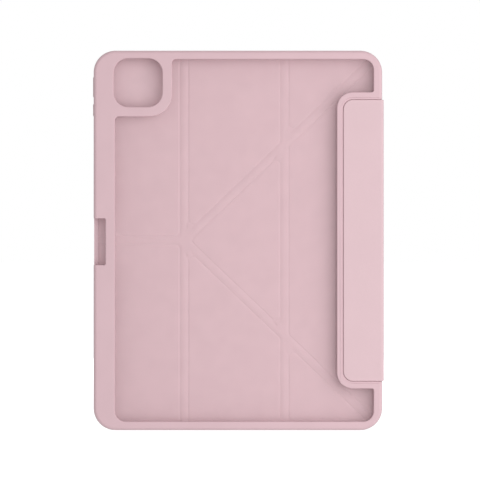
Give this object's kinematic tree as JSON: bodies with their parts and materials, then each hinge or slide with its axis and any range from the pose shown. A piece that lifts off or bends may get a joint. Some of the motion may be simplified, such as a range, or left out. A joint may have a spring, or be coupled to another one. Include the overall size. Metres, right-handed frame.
{
  "type": "tablet case",
  "caption": "Folding tablet case: soft bumper frame with a clear back panel, camera window and pen slot, and a creased folio cover on a back flap and spine.",
  "frame": {"origin": "middle of the lower short edge of the closed case, centred on its box", "axes": "+X to the spine side, -Y out of the back, +Y out of the front cover, +Z to the camera end; the closed case stands on its lower short edge"},
  "size_m": [0.2204, 0.0134, 0.2876],
  "materials": {
    "soft_frame": "matte",
    "clear_panel": "clear gloss",
    "cover_skin": "fine-grained matte",
    "lining": "soft microfibre",
    "board": "plain",
    "magnet": "plated"
  },
  "bodies": {
    "shell": {"back_flange": "soft_frame", "camera_surround": "soft_frame", "pen_side_wall": "soft_frame", "spine_side_wall": "soft_frame", "port_end_wall": "soft_frame", "camera_end_wall": "soft_frame", "clear_back_panel": "clear_panel", "flap_skin": "cover_skin", "flap_board": "board", "flap_spine_web": "cover_skin"},
    "volume_up": {"volume_up_cover": "soft_frame"},
    "volume_down": {"volume_down_cover": "soft_frame"},
    "power": {"power_cover": "soft_frame"},
    "spine": {"spine_skin": "cover_skin", "spine_board": "board", "spine_lining": "lining", "spine_cover_web": "cover_skin"},
    "cover_spine_side": {"spine_side_centre_skin": "cover_skin", "spine_side_centre_board": "board", "spine_side_centre_lining": "lining", "sleep_magnet": "magnet", "middle_crease_centre_web": "cover_skin", "diagonal_upper_right_web": "cover_skin", "diagonal_lower_right_web": "cover_skin"},
    "cover_upper_corner": {"spine_side_upper_skin": "cover_skin", "spine_side_upper_board": "board", "spine_side_upper_lining": "lining", "middle_crease_upper_web": "cover_skin"},
    "cover_lower_corner": {"spine_side_lower_skin": "cover_skin", "spine_side_lower_board": "board", "spine_side_lower_lining": "lining", "middle_crease_lower_web": "cover_skin"},
    "cover_triangle": {"middle_triangle_skin": "cover_skin", "middle_triangle_board": "board", "middle_triangle_lining": "lining", "diagonal_upper_left_web": "cover_skin", "diagonal_lower_left_web": "cover_skin"},
    "cover_middle_upper": {"middle_upper_skin": "cover_skin", "middle_upper_board": "board", "middle_upper_lining": "lining"},
    "cover_middle_lower": {"middle_lower_skin": "cover_skin", "middle_lower_board": "board", "middle_lower_lining": "lining"},
    "outer_crease_upper": {"outer_crease_upper_web": "cover_skin"},
    "outer_crease_lower": {"outer_crease_lower_web": "cover_skin"},
    "cover_edge_upper": {"free_edge_upper_skin": "cover_skin", "free_edge_upper_board": "board", "free_edge_upper_lining": "lining", "closure_magnets_upper": "magnet", "free_edge_level_web": "cover_skin"},
    "cover_edge_lower": {"free_edge_lower_skin": "cover_skin", "free_edge_lower_board": "board", "free_edge_lower_lining": "lining", "closure_magnets_lower": "magnet"}
  },
  "joints": [
    {"name": "spine_fold", "type": "hinge", "parent": "shell", "child": "spine", "pos_m": [0.10958, -0.0061, 0.1438], "axis": [0, 0, -1], "range_deg": [0, 180], "deforming": ["flap_spine_web"]},
    {"name": "cover_fold", "type": "hinge", "parent": "spine", "child": "cover_spine_side", "pos_m": [0.10958, 0.0061, 0.1438], "axis": [0, 0, 1], "range_deg": [-180, 0], "deforming": ["spine_cover_web"]},
    {"name": "middle_fold", "type": "hinge", "parent": "cover_spine_side", "child": "cover_triangle", "pos_m": [0.03503, 0.0055, 0.1438], "axis": [0, 0, 1], "range_deg": [-110, 0], "deforming": ["middle_crease_centre_web", "middle_crease_upper_web", "middle_crease_lower_web"]},
    {"name": "upper_corner_fold", "type": "hinge", "parent": "cover_spine_side", "child": "cover_upper_corner", "pos_m": [-0.04138, 0.0055, 0.1438], "axis": [-0.7228, 0, -0.6911], "range_deg": [0, 90], "deforming": ["diagonal_upper_right_web"]},
    {"name": "lower_corner_fold", "type": "hinge", "parent": "cover_spine_side", "child": "cover_lower_corner", "pos_m": [-0.04138, 0.0055, 0.1438], "axis": [0.7228, 0, -0.6911], "range_deg": [0, 90], "deforming": ["diagonal_lower_right_web"]},
    {"name": "diagonal_fold", "type": "hinge", "parent": "cover_triangle", "child": "cover_middle_upper", "pos_m": [-0.04138, 0.0055, 0.1438], "axis": [-0.7228, 0, -0.6911], "range_deg": [0, 90], "deforming": ["diagonal_upper_left_web", "free_edge_level_web"]},
    {"name": "lower_diagonal_fold", "type": "hinge", "parent": "cover_triangle", "child": "cover_middle_lower", "pos_m": [-0.04138, 0.0055, 0.1438], "axis": [0.7228, 0, -0.6911], "range_deg": [0, 90], "deforming": ["diagonal_lower_left_web"]},
    {"name": "upper_edge_tuck", "type": "hinge", "parent": "cover_middle_upper", "child": "outer_crease_upper", "pos_m": [-0.03988, 0.0055, 0.1438], "axis": [0, 0, 1], "range_deg": [0, 34.65], "deforming": ["outer_crease_upper_web"]},
    {"name": "lower_edge_tuck", "type": "hinge", "parent": "cover_middle_lower", "child": "outer_crease_lower", "pos_m": [-0.03988, 0.0055, 0.1438], "axis": [0, 0, 1], "range_deg": [0, 34.65], "deforming": ["outer_crease_lower_web"]},
    {"name": "outer_fold", "type": "hinge", "parent": "outer_crease_upper", "child": "cover_edge_upper", "pos_m": [-0.04288, 0.0055, 0.1438], "axis": [0, 0, 1], "range_deg": [-120, 0]},
    {"name": "lower_outer_fold", "type": "hinge", "parent": "outer_crease_lower", "child": "cover_edge_lower", "pos_m": [-0.04288, 0.0055, 0.1438], "axis": [0, 0, 1], "range_deg": [-120, 0]},
    {"name": "volume_up_press", "type": "slide", "parent": "shell", "child": "volume_up", "axis": [1, 0, 0], "range_m": [0, 0.0003], "stiffness_N_per_m": 600},
    {"name": "volume_down_press", "type": "slide", "parent": "shell", "child": "volume_down", "axis": [1, 0, 0], "range_m": [0, 0.0003], "stiffness_N_per_m": 600},
    {"name": "power_press", "type": "slide", "parent": "shell", "child": "power", "axis": [0, 0, -1], "range_m": [0, 0.0003], "stiffness_N_per_m": 600}
  ],
  "couplings": [
    {"joint": "upper_corner_fold", "follows": "diagonal_fold", "ratio": 1},
    {"joint": "lower_corner_fold", "follows": "diagonal_fold", "ratio": 1},
    {"joint": "lower_diagonal_fold", "follows": "diagonal_fold", "ratio": 1},
    {"joint": "upper_edge_tuck", "follows": "diagonal_fold", "ratio": 0.38497},
    {"joint": "lower_edge_tuck", "follows": "diagonal_fold", "ratio": 0.38497},
    {"joint": "lower_outer_fold", "follows": "outer_fold", "ratio": 1}
  ]
}
